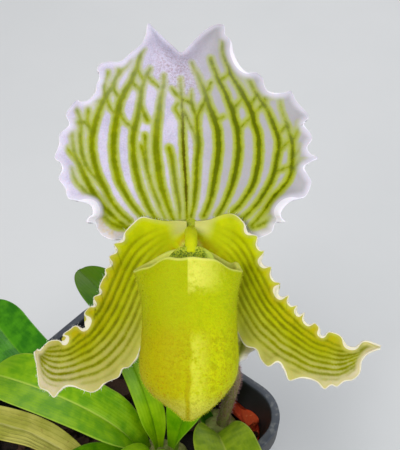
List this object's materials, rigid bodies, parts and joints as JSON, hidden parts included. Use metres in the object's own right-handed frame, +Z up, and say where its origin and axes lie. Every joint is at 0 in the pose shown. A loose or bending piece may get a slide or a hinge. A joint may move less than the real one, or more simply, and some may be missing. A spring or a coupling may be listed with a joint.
{
  "type": "potted slipper orchid",
  "caption": "Slipper orchid in bloom: frilled white dorsal sepal with green veins, swept petals and a yellow-green pouch on a leaning scape, with strap leaves in a square pot of bark.",
  "frame": {"origin": "middle of the flat underside of the pot", "axes": "+Z up; the bloom faces -Y and up, and leans out over the pot's edge on that side; +X to its right as the viewer sees it"},
  "size_m": [0.1629, 0.1819, 0.2761],
  "materials": {
    "sepal": "matt, finely hairy",
    "petal": "satin",
    "pouch": "waxy satin",
    "column": "satin",
    "stalk": "finely hairy",
    "bract": "satin",
    "leaf": "waxy satin",
    "leaf_withered": "matt",
    "crown": "matt",
    "bark": "rough, damp",
    "bark_red": "rough",
    "pot": "satin black"
  },
  "bodies": {
    "root": {"dorsal_sepal": "sepal", "synsepal": "sepal", "petal_left": "petal", "petal_right": "petal", "pouch": "pouch", "column": "column", "ovary": "stalk", "bract": "bract", "scape": "stalk", "leaf_back_left": "leaf", "leaf_left": "leaf", "leaf_rear": "leaf", "leaf_upright": "leaf", "leaf_front_left": "leaf", "leaf_young": "leaf", "leaf_back": "leaf", "leaf_front_right": "leaf", "leaf_flowering_front": "leaf", "leaf_old_front": "leaf", "leaf_withered": "leaf_withered", "crown_flowering": "crown", "crown_middle": "crown", "crown_old": "crown", "bark_mix": "bark", "bark_red": "bark_red", "pot": "pot"}
  },
  "joints": []
}
